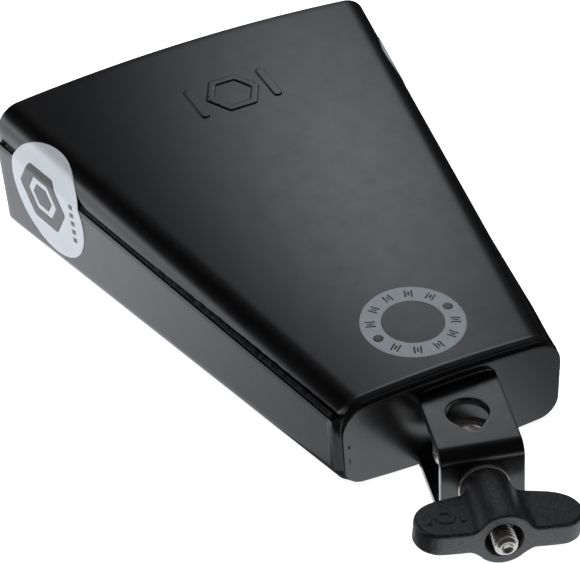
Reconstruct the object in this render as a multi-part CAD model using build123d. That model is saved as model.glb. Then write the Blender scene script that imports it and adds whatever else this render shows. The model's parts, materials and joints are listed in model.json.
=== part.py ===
from build123d import *
import math
import os

# Cowbell: a tapered bell made of two folded steel shells, a welded crown end, and a rod clamp.
# Dimensions are in millimetres and angles in degrees. The part is drawn in the bell's own frame:
# X across the bell, Y from the crown (0) to the mouth, Z up from the bell's mid-plane.
# It is then laid on its lower face, with the origin at the middle of the rod clamp.

# Bell envelope, each pair at the crown and at the mouth.
# The width is that of the lower shell at the mid-plane, and the lean is the sides' slope outward.
BELL_LENGTH = 200.0
HALF_WIDTH = (41.7, 73.4)
SIDE_LEAN = (0.05, 0.085)
HALF_DEPTH = (15.7, 24.5)
TOP = 1
LOWER = -1
DOME = {TOP: (2.0, 4.4), LOWER: (2.0, 2.0)}
FOLD_RADIUS = {TOP: (10.0, 9.3), LOWER: (8.3, 4.3)}

# Sheet and the lapped side seams
SHEET = 1.3
LAP_GAP = 0.15
SEAM_HEIGHT = 11.4
LAP_DEPTH = 13.0
SEAM_BEAD = 1.2
SEAM_BEAD_SPAN = (4.0, 194.0)

# Crown end plate and the ground weld around it
CROWN_HALF_WIDTH = 41.0
CROWN_DEPTH = 2.4
CROWN_ROUNDING = 2.1
CROWN_WELD_WIDTH = 2.6

# Rod clamp, placed on the bell
ROD_CENTRE = (-2.0, -14.8, -1.9)
CLAMP_YAW = -15.0
STRIP_WIDTH = 28.2
STRIP = 3.0
STRIP_HEIGHT = 28.2
STRIP_BEND_RADIUS = 4.3
FRONT_FACE = 20.8
STRIP_OVERRUN = 24.0
ROD_HOLE_RADIUS = 7.1
NOTCH_DEPTH = 9.4
NOTCH_FLAT = 3.8
BOLT_HOLE_RADIUS = 4.5
UPPER_BEAD = 2.6
LOWER_BEAD = 1.5
BEAD_LENGTH = 27.0

# Eye bolt, M8
EYE_RADIUS = 10.9
EYE_BORE_RADIUS = 7.3
EYE_HEIGHT = 8.0
EYE_EDGE = 1.4
BOLT_RADIUS = 4.0
BOLT_END = 53.2
BOLT_CHAMFER = 0.9
BOLT_DIMPLE_RADIUS = 1.4
BOLT_DIMPLE_DEPTH = 1.0

# Washer and wing nut
WASHER_RADIUS = 8.7
WASHER_BORE_RADIUS = 4.3
WASHER_THICKNESS = 1.5
WASHER_SEAT = 0.05
NUT_BACK = 22.45
NUT_FRONT = 49.0
HUB_RADIUS = (8.35, 8.1)
WING_SPAN = 56.0
WING_BACK = 29.4
WING_CORNER = 8.6
WING_THICKNESS = 6.5
WING_EDGE = 1.3
NUT_TURN = 5.0
INSERT_RADIUS = 6.0
INSERT_BORE_RADIUS = 4.05
INSERT_FRONT = 41.0
SOCKET_RADIUS = 6.1
SOCKET_STEP_RADIUS = 6.5
SOCKET_STEP_DEPTH = 1.0

# Surface pieces: side labels, printed ring and raised badge
LABEL_CENTRE = (168.5, 5.8)
LABEL_RADIUS = 20.8
LABEL_OUTLINE_STEPS = 12
LABEL_FILM = 0.25
RING_CENTRE = (0.9, 27.8)
RING_RADII = (17.9, 10.7)
RING_FILM = 0.15
BADGE_CENTRE = (3.0, 165.5)
BADGE_RELIEF = 0.5
BADGE_HEX = 10.5
BADGE_LINE = 2.6
BADGE_BAR = (3.0, 17.0)
BADGE_BAR_OFFSET = 16.0

LAP_OFFSET = SHEET + LAP_GAP


def at(pair, y):
    """Value at a distance y from the crown, between its crown and mouth values."""
    return pair[0] + (pair[1] - pair[0]) * y / BELL_LENGTH


def fold_points(free_edge, face_half_width, depth, dome, radius, inset):
    """Points of a folded sheet's right half: a flange, a fold and a domed face.

    Coordinates are (across, outward). The dome is a circle through the face's apex and
    its two nominal corners, and the fold is a circle tangent to it and to the flange.
    """
    edge = Vector(*free_edge)
    along = (Vector(face_half_width, depth) - edge).normalized()
    inward = Vector(-along.Y, along.X)
    dome_radius = (face_half_width**2 + dome**2) / (2 * dome)
    dome_centre = Vector(0, depth + dome - dome_radius)
    start = edge + inward * radius - dome_centre
    half_b = start.dot(along)
    reach = -half_b + math.sqrt(half_b**2 - start.dot(start) + (dome_radius - radius) ** 2)
    fold_centre = dome_centre + start + along * reach
    to_face = (fold_centre - dome_centre).normalized()
    to_fold = (to_face - inward).normalized()
    return (
        edge - Vector(inset / along.Y, 0),
        edge + inward * inset + along * reach,
        fold_centre + to_fold * (radius - inset),
        fold_centre + to_face * (radius - inset),
        Vector(0, depth + dome - inset),
    )


def fold_edges(points, side, y):
    """Edges of a folded sheet's section at y, from its right flange over the face to the left."""
    right = [Vector(p.X, y, side * p.Y) for p in points]
    left = [Vector(-p.X, y, p.Z) for p in right]
    return [
        Edge.make_line(right[0], right[1]),
        Edge.make_three_point_arc(right[1], right[2], right[3]),
        Edge.make_three_point_arc(right[3], right[4], left[3]),
        Edge.make_three_point_arc(left[3], left[2], left[1]),
        Edge.make_line(left[1], left[0]),
    ]


def shell_points(side, half_width, free_height, y, inset=0.0, grow=0.0):
    """Section of one shell, from its free edge at a height above the mid-plane to its face."""
    lean = at(SIDE_LEAN, y)
    depth = at(HALF_DEPTH, y) + grow
    edge = (half_width + lean * free_height + grow, side * free_height)
    face_half_width = half_width + side * lean * depth + grow
    radius = at(FOLD_RADIUS[side], y) + grow
    return fold_points(edge, face_half_width, depth, at(DOME[side], y), radius, inset)


def top_points(y, inset=0.0, grow=0.0, free_height=SEAM_HEIGHT - LAP_DEPTH):
    """Top shell, whose flanges run down inside those of the lower shell."""
    return shell_points(TOP, at(HALF_WIDTH, y) - LAP_OFFSET, free_height, y, inset, grow)


def lower_points(y, inset=0.0, grow=0.0):
    """Lower shell, whose flanges end at the seam."""
    return shell_points(LOWER, at(HALF_WIDTH, y), SEAM_HEIGHT + grow, y, inset, grow)


def channel(points_at, side, y):
    """Closed section of a sheet one thickness deep."""
    outer = fold_edges(points_at(y), side, y)
    inner = fold_edges(points_at(y, inset=SHEET), side, y)
    ends = [Edge.make_line(outer[0] @ 0, inner[0] @ 0), Edge.make_line(outer[-1] @ 1, inner[-1] @ 1)]
    return Wire(outer + inner + ends)


def filled(points_at, side, y, grow):
    """Closed section of the space a sheet encloses, out to its outer surface."""
    outer = fold_edges(points_at(y, grow=grow), side, y)
    return Wire(outer + [Edge.make_line(outer[-1] @ 1, outer[0] @ 0)])


def lofted(section_at, start=CROWN_DEPTH, end=BELL_LENGTH):
    """Straight-sided solid between the sections at two distances from the crown."""
    return Part() + Solid.make_loft([section_at(start), section_at(end)], ruled=True)


def bell_block(grow):
    """Solid filling both shells, grown outward all over."""
    upper = lofted(lambda y: filled(top_points, TOP, y, grow))
    return upper + lofted(lambda y: filled(lower_points, LOWER, y, grow))


def hexagon(radius):
    return RegularPolygon(radius=radius, side_count=6)


def badge_outline():
    """Plain emblem: a hexagonal ring with a short bar on either side."""
    ring = hexagon(BADGE_HEX) - hexagon(BADGE_HEX - BADGE_LINE)
    bar = RectangleRounded(BADGE_BAR[0], BADGE_BAR[1], BADGE_BAR[0] * 0.45)
    return ring + Pos(BADGE_BAR_OFFSET) * bar + Pos(-BADGE_BAR_OFFSET) * bar


def make_top_shell(block):
    """Domed striking face with its two side flanges and the raised badge."""
    shell = lofted(lambda y: channel(top_points, TOP, y))
    column = extrude(Pos(*BADGE_CENTRE) * badge_outline(), 2 * BELL_LENGTH)
    return shell + ((bell_block(BADGE_RELIEF) - block) & column)


def make_lower_shell():
    """Lower face with its two flanges, which lap outside those of the top shell."""
    return lofted(lambda y: channel(lower_points, LOWER, y))


def crown_outline(inset):
    """Face of the crown end, drawn in from its outer outline."""
    edges = []
    for side in (TOP, LOWER):
        edges += fold_edges(shell_points(side, CROWN_HALF_WIDTH, 0.0, 0.0, inset), side, 0.0)
    return Face(Wire(edges))


def make_crown():
    """Flat crown plate, and the rounded weld ground flush around it."""
    outline = extrude(crown_outline(0.0), CROWN_DEPTH, dir=(0, 1, 0))
    plate = extrude(crown_outline(CROWN_WELD_WIDTH), CROWN_DEPTH, dir=(0, 1, 0))
    front_rim = outline.faces().sort_by(Axis.Y)[0].edges()
    rounded = fillet(front_rim, CROWN_ROUNDING)
    return plate, rounded - plate


def seam_strip(side, grow=0.0):
    """Strip with a sloping face that fills the step where a lower flange ends."""

    def section(y):
        outer = at(HALF_WIDTH, y) + at(SIDE_LEAN, y) * SEAM_HEIGHT - LAP_GAP + grow
        foot = SEAM_HEIGHT - grow
        top = SEAM_HEIGHT + SEAM_BEAD + grow
        inner = outer - 4 * SEAM_BEAD
        corners = [(outer, foot), (outer, SEAM_HEIGHT + grow), (outer - SEAM_BEAD, top), (inner, top), (inner, foot)]
        return Wire.make_polygon([(side * across, y, height) for across, height in corners])

    return lofted(section, *SEAM_BEAD_SPAN)


def label_rise(length):
    """Height above the label's centre after a length measured up the side and over the fold."""
    radius = at(FOLD_RADIUS[TOP], LABEL_CENTRE[0])
    flat = at(HALF_DEPTH, LABEL_CENTRE[0]) - radius - LABEL_CENTRE[1]
    if length < flat:
        return length
    return flat + radius * math.sin((length - flat) / radius)


def label_outline():
    """Round label as it shows from the side, its upper half bent over the fold."""
    angles = [math.pi * step / LABEL_OUTLINE_STEPS for step in range(LABEL_OUTLINE_STEPS + 1)]
    bent = [(LABEL_RADIUS * math.cos(a), label_rise(LABEL_RADIUS * math.sin(a))) for a in angles]
    upper = Edge.make_spline([Vector(*point) for point in bent], tangents=[(0, 1), (0, -1)])
    lower = Edge.make_three_point_arc(upper @ 1, Vector(0, -LABEL_RADIUS), upper @ 0)
    return Face(Wire([upper, lower]))


def make_label(side, block):
    """Thin film stuck over the flanges, the seam and the fold of one side."""
    plane = Plane(origin=(0, *LABEL_CENTRE), x_dir=(0, 1, 0), z_dir=(1, 0, 0))
    column = extrude(plane * label_outline(), side * BELL_LENGTH)
    film = bell_block(LABEL_FILM) + seam_strip(side, LABEL_FILM)
    return (film - block - seam_strip(side)) & column


def make_ring(block):
    """Flat ring printed on the striking face."""
    ring = Circle(RING_RADII[0]) - Circle(RING_RADII[1])
    column = extrude(Pos(*RING_CENTRE) * ring, BELL_LENGTH)
    return (bell_block(RING_FILM) - block) & column


def rod_hole():
    """Round hole with a notch towards the wing nut that centres a rod of any smaller size."""
    tip = -NOTCH_DEPTH
    half_flat = NOTCH_FLAT / 2
    span = math.hypot(half_flat, tip)
    touch = math.atan2(tip, half_flat) + math.acos(ROD_HOLE_RADIUS / span)
    right = (ROD_HOLE_RADIUS * math.cos(touch), ROD_HOLE_RADIUS * math.sin(touch))
    left = (-right[0], right[1])
    notch = Polygon(right, left, (-half_flat, tip), (half_flat, tip), align=None)
    return Circle(ROD_HOLE_RADIUS) + notch


def make_bracket():
    """Strip bent into a U, with its two ends on the crown and rod holes in both legs."""
    length = FRONT_FACE + STRIP_OVERRUN
    centre = Pos(0, STRIP_OVERRUN - length / 2, 0)
    outer = centre * Box(STRIP_WIDTH, length, STRIP_HEIGHT)
    outer = fillet(outer.faces().sort_by(Axis.Y)[0].edges().filter_by(Axis.X), STRIP_BEND_RADIUS)
    inner = centre * Pos(0, STRIP / 2, 0) * Box(STRIP_WIDTH, length - STRIP, STRIP_HEIGHT - 2 * STRIP)
    inner = fillet(inner.faces().sort_by(Axis.Y)[0].edges().filter_by(Axis.X), STRIP_BEND_RADIUS - STRIP)
    strip = outer - inner
    strip -= Pos(0, 0, -STRIP_HEIGHT) * extrude(rod_hole(), 2 * STRIP_HEIGHT)
    bolt_hole = Rot(X=90) * Cylinder(BOLT_HOLE_RADIUS, 4 * STRIP)
    return strip - Pos(0, -FRONT_FACE, 0) * bolt_hole


def make_bracket_bead(height, radius, side):
    """Rounded weld along the root of one leg, parallel to the crown."""
    corner = Plane(origin=(0, 0, height), x_dir=(0, -1, 0), z_dir=(-1, 0, 0))
    quarter = Circle(radius) & Pos(radius / 2, side * radius / 2) * Rectangle(radius, radius)
    bead = extrude(corner * quarter, BEAD_LENGTH / 2, both=True)
    return Pos(X=ROD_CENTRE[0] + ROD_CENTRE[1] * math.tan(math.radians(CLAMP_YAW))) * bead


def make_eye_bolt():
    """Eye that holds the rod, with a threaded shank towards the wing nut."""
    eye = Cylinder(EYE_RADIUS, EYE_HEIGHT)
    eye = fillet(eye.edges().filter_by(GeomType.CIRCLE), EYE_EDGE)
    shank_length = BOLT_END - EYE_BORE_RADIUS
    shank = Cylinder(BOLT_RADIUS, shank_length, align=(Align.CENTER, Align.CENTER, Align.MIN))
    shank = chamfer(shank.edges().sort_by(Axis.Z)[-1], BOLT_CHAMFER)
    dimple = Pos(Z=shank_length - BOLT_DIMPLE_DEPTH) * Cone(
        0, BOLT_DIMPLE_RADIUS, BOLT_DIMPLE_DEPTH, align=(Align.CENTER, Align.CENTER, Align.MIN)
    )
    shank = Pos(0, -EYE_BORE_RADIUS, 0) * Rot(X=90) * (shank - dimple)
    return eye + shank - Cylinder(EYE_BORE_RADIUS, 2 * EYE_HEIGHT)


def along_bolt(distance):
    """Placement on the bolt's axis, with local Z pointing out of the bell."""
    return Pos(0, -distance, 0) * Rot(X=90)


def upward(radius, height):
    return Cylinder(radius, height, align=(Align.CENTER, Align.CENTER, Align.MIN))


def make_washer():
    disc = upward(WASHER_RADIUS, WASHER_THICKNESS) - upward(WASHER_BORE_RADIUS, WASHER_THICKNESS)
    return along_bolt(FRONT_FACE + WASHER_SEAT) * disc


def make_wing_grip():
    """Moulded grip: a round hub, two flat wings and a socket that shows the bolt's end."""
    length = NUT_FRONT - NUT_BACK
    hub = Cone(HUB_RADIUS[0], HUB_RADIUS[1], length, align=(Align.CENTER, Align.CENTER, Align.MIN))
    wing_height = NUT_FRONT - WING_BACK
    plate = extrude(RectangleRounded(WING_SPAN, wing_height, WING_CORNER), WING_THICKNESS / 2, both=True)
    plate = fillet(plate.faces().filter_by(Axis.Z).edges(), WING_EDGE)
    wings = Pos(Z=length - wing_height / 2) * Rot(X=90) * plate
    grip = hub + wings - upward(INSERT_RADIUS, INSERT_FRONT - NUT_BACK)
    grip -= Pos(Z=INSERT_FRONT - NUT_BACK) * upward(SOCKET_RADIUS, length)
    return grip - Pos(Z=length - SOCKET_STEP_DEPTH) * upward(SOCKET_STEP_RADIUS, length)


def make_wing_insert():
    """Metal sleeve moulded into the grip, threaded M8."""
    length = INSERT_FRONT - NUT_BACK
    return upward(INSERT_RADIUS, length) - upward(INSERT_BORE_RADIUS, length)


def build():
    """Every piece in its place on the bell."""
    block = bell_block(0.0)
    plate, crown_weld = make_crown()
    clamp = Pos(*ROD_CENTRE) * Rot(Z=CLAMP_YAW)
    nut = clamp * Rot(Y=NUT_TURN) * along_bolt(NUT_BACK)
    outside = Pos(0, -BELL_LENGTH / 2, 0) * Box(BELL_LENGTH, BELL_LENGTH, BELL_LENGTH)
    upper_root = ROD_CENTRE[2] + STRIP_HEIGHT / 2
    lower_root = ROD_CENTRE[2] - STRIP_HEIGHT / 2
    return {
        "top_shell": make_top_shell(block),
        "lower_shell": make_lower_shell(),
        "crown_plate": plate,
        "crown_weld": crown_weld,
        "seam_weld_left": seam_strip(-1) - block,
        "seam_weld_right": seam_strip(1) - block,
        "clamp_bracket": (clamp * make_bracket()) & outside,
        "bracket_weld_upper": make_bracket_bead(upper_root, UPPER_BEAD, 1),
        "bracket_weld_lower": make_bracket_bead(lower_root, LOWER_BEAD, -1),
        "eye_bolt": clamp * make_eye_bolt(),
        "washer": clamp * make_washer(),
        "wing_grip": nut * make_wing_grip(),
        "wing_insert": nut * make_wing_insert(),
        "side_label_left": make_label(-1, block),
        "side_label_right": make_label(1, block),
        "printed_ring": make_ring(block),
    }


def lay_down():
    """Placement that levels the lower face's centre line and puts the rod clamp at the origin."""
    crown_depth, mouth_depth = [HALF_DEPTH[end] + DOME[LOWER][end] for end in (0, 1)]
    slope = (mouth_depth - crown_depth) / BELL_LENGTH
    return Rot(X=math.degrees(math.atan(slope))) * Pos(*[-value for value in ROD_CENTRE])


os.makedirs("parts", exist_ok=True)
placement = lay_down()
for node, shape in build().items():
    solids = (placement * shape).solids()
    export_step(Compound(solids) if len(solids) > 1 else solids[0], f"parts/{node}.step")
    print(node, len(solids), round(sum(solid.volume for solid in solids)))
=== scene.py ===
import json
import math

import bpy
import numpy as np
from mathutils import Matrix, Vector, noise
from mathutils.geometry import delaunay_2d_cdt

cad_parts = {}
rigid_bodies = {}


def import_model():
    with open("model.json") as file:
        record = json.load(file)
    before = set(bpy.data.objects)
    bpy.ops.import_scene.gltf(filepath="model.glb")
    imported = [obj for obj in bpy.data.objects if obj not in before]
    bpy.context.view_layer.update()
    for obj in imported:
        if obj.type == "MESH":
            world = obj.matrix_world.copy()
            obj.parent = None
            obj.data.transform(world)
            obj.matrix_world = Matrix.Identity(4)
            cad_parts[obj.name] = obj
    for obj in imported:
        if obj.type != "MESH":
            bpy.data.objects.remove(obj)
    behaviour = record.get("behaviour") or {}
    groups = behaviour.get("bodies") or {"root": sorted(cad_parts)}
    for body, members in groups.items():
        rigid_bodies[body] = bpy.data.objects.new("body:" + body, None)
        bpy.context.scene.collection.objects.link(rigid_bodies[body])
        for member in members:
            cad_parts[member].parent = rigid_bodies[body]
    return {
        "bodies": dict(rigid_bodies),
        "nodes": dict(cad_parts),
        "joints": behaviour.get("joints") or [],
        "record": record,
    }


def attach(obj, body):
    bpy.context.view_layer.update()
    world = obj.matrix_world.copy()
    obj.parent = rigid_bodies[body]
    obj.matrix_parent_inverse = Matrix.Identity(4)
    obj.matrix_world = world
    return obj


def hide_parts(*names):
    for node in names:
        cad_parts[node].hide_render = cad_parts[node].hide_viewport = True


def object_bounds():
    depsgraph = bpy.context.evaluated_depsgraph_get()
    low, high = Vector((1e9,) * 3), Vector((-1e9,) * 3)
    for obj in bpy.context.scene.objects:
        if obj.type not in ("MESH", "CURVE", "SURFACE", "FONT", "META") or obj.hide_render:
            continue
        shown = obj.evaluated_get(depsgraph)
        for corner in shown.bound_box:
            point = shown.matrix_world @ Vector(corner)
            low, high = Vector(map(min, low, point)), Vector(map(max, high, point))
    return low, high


# A cowbell: two folded and lapped steel shells, a welded crown end, and a rod clamp with a wing nut.
# Lengths in this script are millimetres until a mesh is placed, and angles are degrees.
# The bell's own frame has X across, Y from the crown (0) to the mouth, and Z up from the mid-plane.

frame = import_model()
cad_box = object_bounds()

# Bell envelope, each pair at the crown and at the mouth
BELL_LENGTH = 200.0
HALF_WIDTH = (41.7, 73.4)
SIDE_LEAN = (0.05, 0.085)
HALF_DEPTH = (15.7, 24.5)
TOP, LOWER = 1, -1
DOME = {TOP: (2.0, 4.4), LOWER: (2.0, 2.0)}
FOLD_RADIUS = {TOP: (10.0, 9.3), LOWER: (8.3, 4.3)}
LOWER_SQUARE = 1.1
SHEET = 1.3
SHEET_EDGE = 0.45
LAP_OFFSET = 1.45
SEAM_HEIGHT = 11.4
LAP_DEPTH = 13.0
SHELL_START = 3.5

# Crown end
CROWN_HALF_WIDTH = 41.0
CROWN_DEPTH = 2.4
CROWN_ROUNDING = 1.9
CROWN_WELD_WIDTH = 2.6
CROWN_SLOPE_DROP = 0.45
CROWN_BULGE = 0.95
CROWN_RIDGE = 0.045

# Rod clamp
ROD_CENTRE = (-2.0, -14.8, -1.9)
CLAMP_YAW = -15.0
STRIP_WIDTH = 28.2
STRIP = 3.0
STRIP_HEIGHT = 28.2
STRIP_BEND_RADIUS = 5.0
STRIP_EDGE = 0.35
FRONT_FACE = 20.8
ROD_HOLE_RADIUS = 7.1
NOTCH_DEPTH = 9.4
NOTCH_FLAT = 3.8
BOLT_HOLE_RADIUS = 4.5

# Eye bolt, washer and wing nut
EYE_RADII = (7.3, 10.9)
EYE_WIDE_RADIUS = 11.6
EYE_HEIGHT = 8.0
BOLT_RADIUS = 4.0
BOLT_END = 53.18
THREAD_PITCH = 1.5
THREAD_DEPTH = 0.85
WASHER_RADII = (4.3, 8.7)
WASHER_THICKNESS = 1.5
NUT_BACK = 22.45
NUT_LENGTH = 26.52
HUB_RADII = (8.35, 9.9)
WING_THICKNESS = 8.4
WING_LEVEL = -0.55
NUT_TURN = 5.0
INSERT_RADIUS = 6.0
INSERT_LENGTH = 18.55
SOCKET_RADIUS = 6.1

# Surface pieces
LABEL_CENTRE = {-1: (169.0, 3.1), 1: (169.0, 0.8)}
LABEL_RADIUS = 21.9
RING_CENTRE = (0.9, 27.8)
RING_RADII = (10.7, 17.9)
BADGE_CENTRE = (3.0, 165.5)

# The bell lies on its lower face, with the origin at the middle of the rod clamp.
LAID = Matrix.Rotation(math.atan(0.044), 4, "X")
TO_METRES = Matrix.Scale(0.001, 4)
BELL = TO_METRES @ LAID @ Matrix.Translation([-value for value in ROD_CENTRE])
CLAMP = TO_METRES @ LAID @ Matrix.Rotation(math.radians(CLAMP_YAW), 4, "Z")


def along_bolt(distance, turn=0.0):
    """Placement on the bolt's axis, with local Z out of the bell."""
    turned = Matrix.Rotation(math.radians(turn), 4, "Y")
    return CLAMP @ turned @ Matrix.Translation((0, -distance, 0)) @ Matrix.Rotation(math.pi / 2, 4, "X")


NUT = along_bolt(NUT_BACK, NUT_TURN)


def smoothstep(low, high, value):
    t = np.clip((np.asarray(value, float) - low) / (high - low), 0, 1)
    return t * t * (3 - 2 * t)


def wobble(points, scale, seed=0.0):
    """Smooth noise from about -1 to 1 at each point, with features about 1/scale long."""
    points = np.asarray(points, float) * scale + seed
    flat = points.reshape(-1, 3)
    values = np.array([noise.noise(Vector(point)) for point in flat])
    return values.reshape(points.shape[:-1])


# ---------------------------------------------------------------- mesh building


def add_piece(name, verts, faces, placement, material, body, nodes=(), sharp=None):
    """Makes a smooth-shaded mesh object from points in a local frame and puts it on its CAD body."""
    mesh = bpy.data.meshes.new(name)
    mesh.from_pydata([tuple(point) for point in np.asarray(verts, float)], [], [list(map(int, face)) for face in faces])
    mesh.transform(placement)
    mesh.validate()
    mesh.update()
    mesh.shade_smooth()
    if sharp:
        mesh.set_sharp_from_angle(angle=math.radians(sharp))
    mesh.materials.append(material)
    piece = bpy.data.objects.new(name, mesh)
    bpy.context.scene.collection.objects.link(piece)
    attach(piece, body)
    if nodes:
        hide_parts(*nodes)
    return piece


def grid_faces(rows, columns, wrap_rows=False, wrap_columns=False, start=0):
    """Quads between neighbouring points of a grid of rows and columns."""
    faces = []
    for i in range(rows if wrap_rows else rows - 1):
        for j in range(columns if wrap_columns else columns - 1):
            a, b = i * columns + j, i * columns + (j + 1) % columns
            k = (i + 1) % rows
            faces.append((start + a, start + b, start + k * columns + (j + 1) % columns, start + k * columns + j))
    return faces


def flipped(faces):
    return [tuple(reversed(face)) for face in faces]


def lofted(rows):
    """Closed surface through rows of points, each row a ring, with a flat cap at both ends."""
    size = len(rows[0])
    last = (len(rows) - 1) * size
    faces = grid_faces(len(rows), size, wrap_columns=True)
    faces += [tuple(range(size))[::-1], tuple(range(last, last + size))]
    return np.array(rows).reshape(-1, 3), faces


def lathe(profile, segments=96):
    """Closed surface of revolution about Z from a closed profile of (radius, height) points."""
    angles = np.arange(segments) * 2 * math.pi / segments
    profile = np.asarray(profile, float)
    verts = [
        (radius * math.cos(a), radius * math.sin(a), height) for a in angles for radius, height in profile
    ]
    return verts, grid_faces(segments, len(profile), True, True)


def arc(centre, radius, start, end, steps=6):
    angles = np.radians(np.linspace(start, end, steps + 1))
    return [(centre[0] + radius * math.cos(a), centre[1] + radius * math.sin(a)) for a in angles]


def resample(loop, spacing):
    """Closed loop with its long edges divided to about the spacing."""
    points = []
    for a, b in zip(loop, np.roll(loop, -1, axis=0)):
        count = max(1, int(round(np.linalg.norm(b - a) / spacing)))
        points += [a + (b - a) * i / count for i in range(count)]
    return np.array(points)


def inset_loop(loop, distance):
    """Loop moved to its left by a distance, with mitred corners."""
    before = loop - np.roll(loop, 1, axis=0)
    after = np.roll(loop, -1, axis=0) - loop
    normals = []
    for edge in (before, after):
        edge = edge / np.maximum(np.linalg.norm(edge, axis=1, keepdims=True), 1e-9)
        normals.append(np.stack([-edge[:, 1], edge[:, 0]], axis=1))
    total = normals[0] + normals[1]
    total /= np.maximum(np.linalg.norm(total, axis=1, keepdims=True), 1e-9)
    cosine = np.clip((total * normals[0]).sum(axis=1, keepdims=True), 0.5, 1)
    return loop + total * distance / cosine


def inside_loops(points, loops):
    """Even-odd test of points against closed loops."""
    inside = np.zeros(len(points), bool)
    for loop in loops:
        for (x1, y1), (x2, y2) in zip(loop, np.roll(loop, -1, axis=0)):
            crosses = (y1 > points[:, 1]) != (y2 > points[:, 1])
            if y1 != y2:
                inside ^= crosses & (points[:, 0] < (x2 - x1) * (points[:, 1] - y1) / (y2 - y1) + x1)
    return inside


def plate(loops, place, low, high, edge=0.2, spacing=1.0, steps=4, lines=None):
    """Closed plate over a flat outline with holes, with rounded edges, bent by place(u, v, height).

    Each loop has the material on its left.
    """
    loops = [resample(np.asarray(loop, float), spacing) for loop in loops]
    turns = np.radians(np.linspace(0, 90, steps + 1))
    rim = [(edge * (1 - math.sin(t)), low + edge * (1 - math.cos(t))) for t in turns]
    rim += [(edge * (1 - math.cos(t)), high - edge * (1 - math.sin(t))) for t in turns]
    inner = [inset_loop(loop, edge) for loop in loops]
    border = np.concatenate(inner)
    lowest, highest = border.min(axis=0), border.max(axis=0)
    if lines is None:
        lines = [np.arange(lowest[i] + spacing / 2, highest[i], spacing) for i in (0, 1)]
    fill = np.stack(np.meshgrid(*lines, indexing="ij"), axis=-1).reshape(-1, 2)
    fill = fill[inside_loops(fill, inner)]
    nearest = np.array([np.min(np.abs(border - point).max(axis=1)) for point in fill])
    fill = fill[nearest > 0.45 * spacing] if len(fill) else fill
    edges, start = [], 0
    for loop in inner:
        edges += [(start + i, start + (i + 1) % len(loop)) for i in range(len(loop))]
        start += len(loop)
    flat = [Vector(point) for point in np.concatenate([border, fill])]
    found, _, triangles, origin, _, _ = delaunay_2d_cdt(flat, edges, [], 0, 1e-5)
    found = np.array([tuple(point) for point in found])
    back = {source: new for new, sources in enumerate(origin) for source in sources}
    middle = found[np.array(triangles)].mean(axis=1)
    keep = inside_loops(middle, inner)
    triangles = [triangle for triangle, wanted in zip(triangles, keep) if wanted]
    count = len(found)
    verts = [place(found[:, 0], found[:, 1], np.full(count, level)) for level in (high, low)]
    faces = [tuple(t) for t in triangles] + [tuple(count + i for i in reversed(t)) for t in triangles]
    at, start = 2 * count, 0
    for loop in loops:
        size = len(loop)
        bottom = [count + back[start + i] for i in range(size)]
        top = [back[start + i] for i in range(size)]
        rows = [bottom]
        for inset, height in rim[1:-1]:
            moved = inset_loop(loop, inset)
            verts.append(place(moved[:, 0], moved[:, 1], np.full(size, height)))
            rows.append(list(range(at, at + size)))
            at += size
        rows.append(top)
        for lower, upper in zip(rows, rows[1:]):
            faces += [(lower[i], lower[(i + 1) % size], upper[(i + 1) % size], upper[i]) for i in range(size)]
        start += size
    return np.concatenate(verts), faces


def surface_net(field, low, high, step):
    """Closed mesh of the surface where field is zero, negative inside, drawn onto the exact surface."""
    axes = [np.arange(low[i], high[i] + step, step) for i in range(3)]
    grid = np.stack(np.meshgrid(*axes, indexing="ij"), axis=-1)
    value = field(grid)
    inside = value < 0
    shape = np.array(value.shape) - 1
    total = np.zeros((*shape, 3))
    crossings = np.zeros(tuple(shape))
    corner = [slice(0, -1), slice(1, None)]
    for axis in range(3):
        others = [i for i in range(3) if i != axis]
        for p in (0, 1):
            for q in (0, 1):
                near, far = [None] * 3, [None] * 3
                near[axis], far[axis] = corner[0], corner[1]
                near[others[0]] = far[others[0]] = corner[p]
                near[others[1]] = far[others[1]] = corner[q]
                near, far = tuple(near), tuple(far)
                mixed = inside[near] != inside[far]
                gap = np.where(mixed, value[near] - value[far], 1)
                share = np.where(mixed, value[near] / gap, 0)[..., None]
                point = grid[near] * (1 - share) + grid[far] * share
                total += np.where(mixed[..., None], point, 0)
                crossings += mixed
    used = crossings > 0
    number = -np.ones(tuple(shape), int)
    number[used] = np.arange(used.sum())
    verts = total[used] / crossings[used][:, None]
    faces = []
    for axis in range(3):
        b, c = (axis + 1) % 3, (axis + 2) % 3
        near, far = [slice(1, -1)] * 3, [slice(1, -1)] * 3
        near[axis], far[axis] = slice(0, -1), slice(1, None)
        first, second = inside[tuple(near)], inside[tuple(far)]
        for flip, mask in ((False, first & ~second), (True, ~first & second)):
            cells = np.argwhere(mask)
            cells[:, b] += 1
            cells[:, c] += 1
            ring = []
            for p, q in ((1, 1), (0, 1), (0, 0), (1, 0)):
                at = cells.copy()
                at[:, b] -= p
                at[:, c] -= q
                ring.append(number[tuple(at.T)])
            quads = np.stack(ring[::-1] if flip else ring, axis=1)
            faces += quads.tolist()
    small = step * 0.05
    for _ in range(3):
        here = field(verts)
        slope = np.stack(
            [(field(verts + offset) - field(verts - offset)) / (2 * small) for offset in np.eye(3) * small], axis=1
        )
        size = np.maximum((slope**2).sum(axis=1), 0.05)
        move = np.clip(here / size, -step / 2, step / 2)
        verts = verts - slope * move[:, None]
    return verts, faces


def blend_union(a, b, radius):
    """Union of two distance fields with a fillet of about a radius."""
    h = np.clip(0.5 + 0.5 * (b - a) / radius, 0, 1)
    return b * (1 - h) + a * h - radius * h * (1 - h)


def rounded_box(offsets, radius):
    """Distance from a box with rounded edges, given how far a point is past each pair of faces."""
    q = np.stack(offsets, axis=-1) + radius
    return np.linalg.norm(np.maximum(q, 0), axis=-1) + np.minimum(q.max(axis=-1), 0) - radius


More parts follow.
